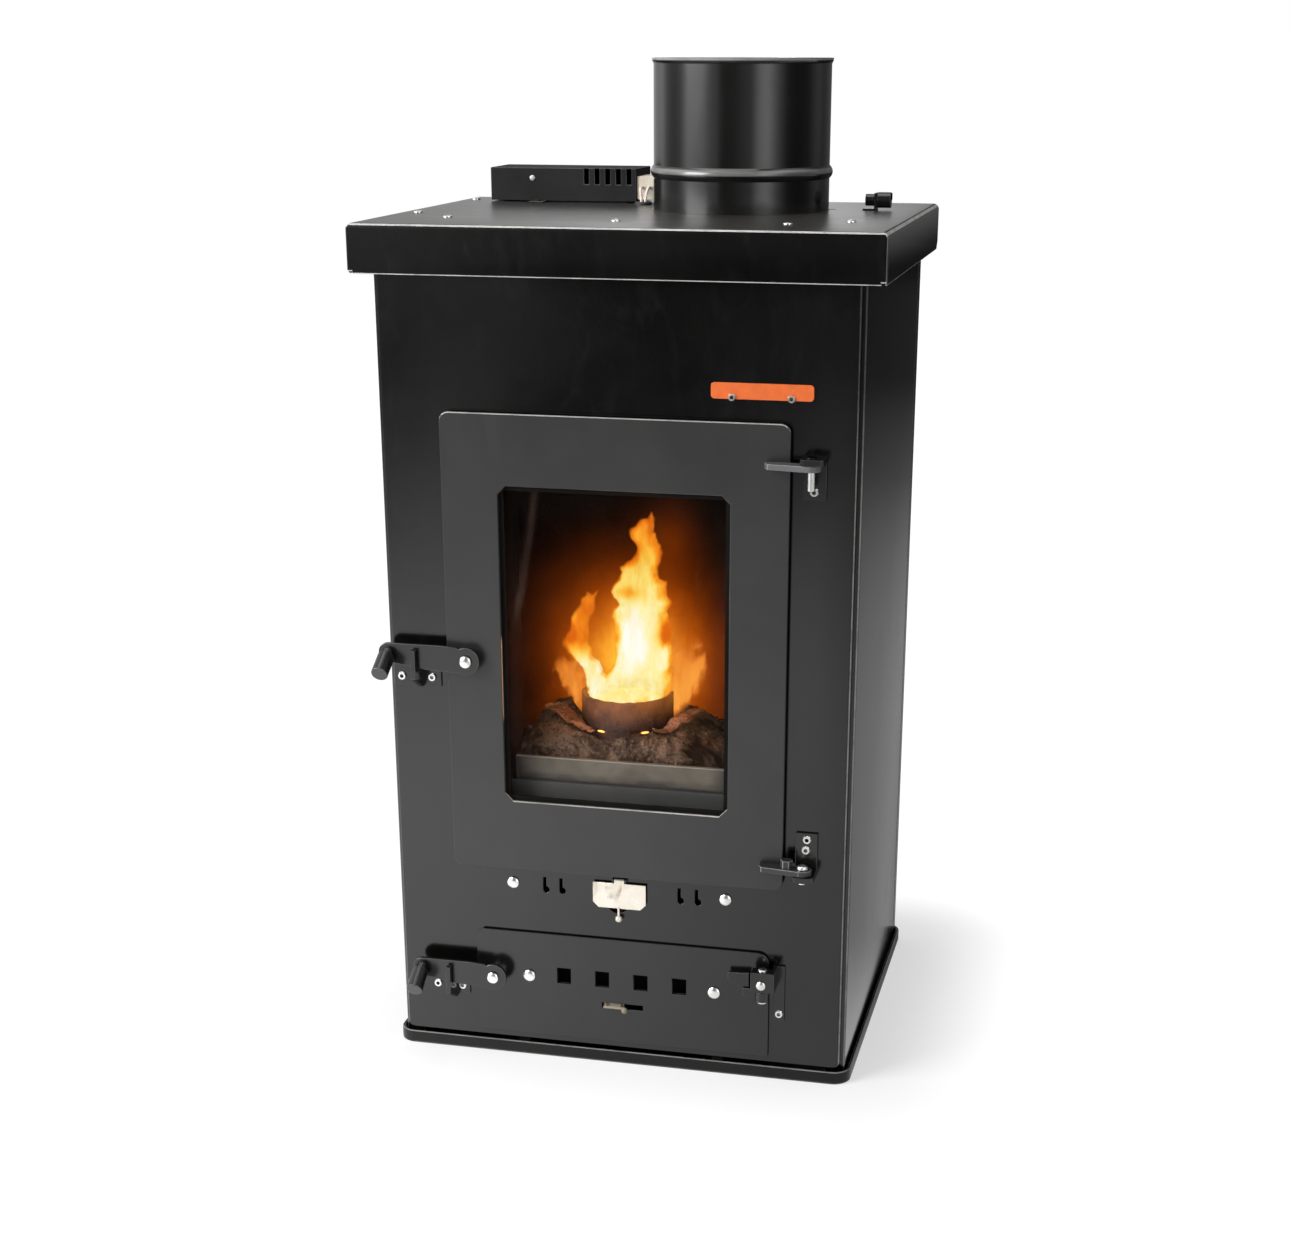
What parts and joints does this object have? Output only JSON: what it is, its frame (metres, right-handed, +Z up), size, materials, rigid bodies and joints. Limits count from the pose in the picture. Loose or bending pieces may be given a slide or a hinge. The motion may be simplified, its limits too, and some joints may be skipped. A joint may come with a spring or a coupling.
{
  "type": "pellet stove",
  "caption": "Freestanding sheet-metal wood pellet stove with hinged glass door, ash door with air slider, lever latches, top flue collar and internal pellet hopper with auger feed.",
  "frame": {"origin": "centre of the underside of the base tray, on the floor", "axes": "+Z up, +X to the right as seen from the front, -Y out of the front towards the person at the stove"},
  "size_m": [0.442, 0.4157, 0.855],
  "materials": {
    "black_paint": "satin heat-resistant black paint",
    "soot_steel": "heat-darkened sheet steel with soot",
    "grey_steel": "bare grey steel",
    "zinc": "bright zinc plate",
    "nickel": "warm nickel plate, smudged by heat",
    "rusted_steel": "heat-scaled brown steel",
    "rope": "graphite glass-fibre rope",
    "glass": "clear ceramic glass with a smoke tint",
    "orange_enamel": "orange enamel",
    "black_plastic": "black moulded plastic",
    "cream_plastic": "cream terminal plastic",
    "rubber": "black rubber",
    "lead_sleeve": "pale heat-proof sleeve"
  },
  "bodies": {
    "stove": {"base_tray": "black_paint", "front_panel": "black_paint", "side_panel_left": "black_paint", "side_panel_right": "black_paint", "back_panel": "black_paint", "top_lid": "black_paint", "dome_screws": "zinc", "flue_collar": "black_paint", "smoke_box": "soot_steel", "firebox": "soot_steel", "baffle": "soot_steel", "ash_box": "soot_steel", "burner_tray": "soot_steel", "burn_pot": "rusted_steel", "ash_lip": "soot_steel", "grate_bar": "grey_steel", "ignition_tube": "soot_steel", "hopper": "grey_steel", "auger_tube": "grey_steel", "pellet_chute": "grey_steel", "gearmotor": "black_paint", "filler_pin": "zinc", "badge": "orange_enamel", "badge_screws": "zinc", "hinge_brackets": "grey_steel", "hinge_pins": "zinc", "button_screws": "zinc", "door_catches": "black_paint", "ash_hinge_bracket": "black_paint", "ash_hinge_pin": "zinc", "flap_pin": "black_paint", "control_box": "black_paint", "terminal_block": "cream_plastic", "motor_leads": "lead_sleeve", "grommet": "rubber", "feed_bush": "zinc"},
    "door": {"door_plate": "black_paint", "door_frame": "soot_steel", "rope_gasket": "rope", "glass_gasket": "rope", "door_glass": "glass", "glass_clips": "grey_steel", "hinge_arms": "grey_steel", "latch_bolt": "zinc"},
    "latch": {"latch_lever": "black_paint", "latch_knob": "black_plastic"},
    "ash_door": {"ash_door_plate": "black_paint", "ash_hinge_arm": "grey_steel", "ash_latch_bolt": "zinc", "slider_bolts": "zinc"},
    "ash_latch": {"ash_latch_lever": "black_paint", "ash_latch_knob": "black_plastic"},
    "air_control": {"air_slider": "grey_steel"},
    "ash_drawer": {"ash_pan": "grey_steel"},
    "port_flap": {"ignition_flap": "nickel"},
    "auger": {"auger_shaft": "zinc", "auger_flight": "grey_steel"},
    "filler_lid": {"filler_flap": "black_paint", "filler_knob": "black_plastic"},
    "feed_control": {"feed_knob": "black_plastic"}
  },
  "joints": [
    {"name": "door_hinge", "type": "hinge", "parent": "stove", "child": "door", "pos_m": [0.1665, -0.191, 0.381], "axis": [0, 0, 1], "range_deg": [0, 110]},
    {"name": "latch_pivot", "type": "hinge", "parent": "door", "child": "latch", "pos_m": [-0.128, -0.191, 0.371], "axis": [0, 1, 0], "range_deg": [0, 70]},
    {"name": "ash_door_hinge", "type": "hinge", "parent": "stove", "child": "ash_door", "pos_m": [0.1335, -0.19, 0.085], "axis": [0, 0, 1], "range_deg": [0, 105]},
    {"name": "ash_latch_pivot", "type": "hinge", "parent": "ash_door", "child": "ash_latch", "pos_m": [-0.112, -0.191, 0.079], "axis": [0, 1, 0], "range_deg": [0, 70]},
    {"name": "air_slide", "type": "slide", "parent": "ash_door", "child": "air_control", "axis": [1, 0, 0], "range_m": [0, 0.0177]},
    {"name": "ash_drawer_slide", "type": "slide", "parent": "stove", "child": "ash_drawer", "axis": [0, -1, 0], "range_m": [0, 0.0645]},
    {"name": "port_flap_pivot", "type": "hinge", "parent": "stove", "child": "port_flap", "pos_m": [0.002, -0.1769, 0.176], "axis": [-1, 0, 0], "range_deg": [0, 85]},
    {"name": "auger_spin", "type": "hinge", "parent": "stove", "child": "auger", "pos_m": [-0.15, 0.098, 0.3], "axis": [0.7071, 0, 0.7071], "continuous": true},
    {"name": "filler_hinge", "type": "hinge", "parent": "stove", "child": "filler_lid", "pos_m": [-0.1175, 0.18, 0.562], "axis": [-1, 0, 0], "range_deg": [0, 100]},
    {"name": "feed_turn", "type": "hinge", "parent": "stove", "child": "feed_control", "pos_m": [0.182, 0.06, 0.7385], "axis": [1, 0, 0], "range_deg": [-135, 135]}
  ],
  "couplings": [
    {"joint": "ash_drawer_slide", "follows": "ash_door_hinge", "m_per_rad": 0.035}
  ]
}
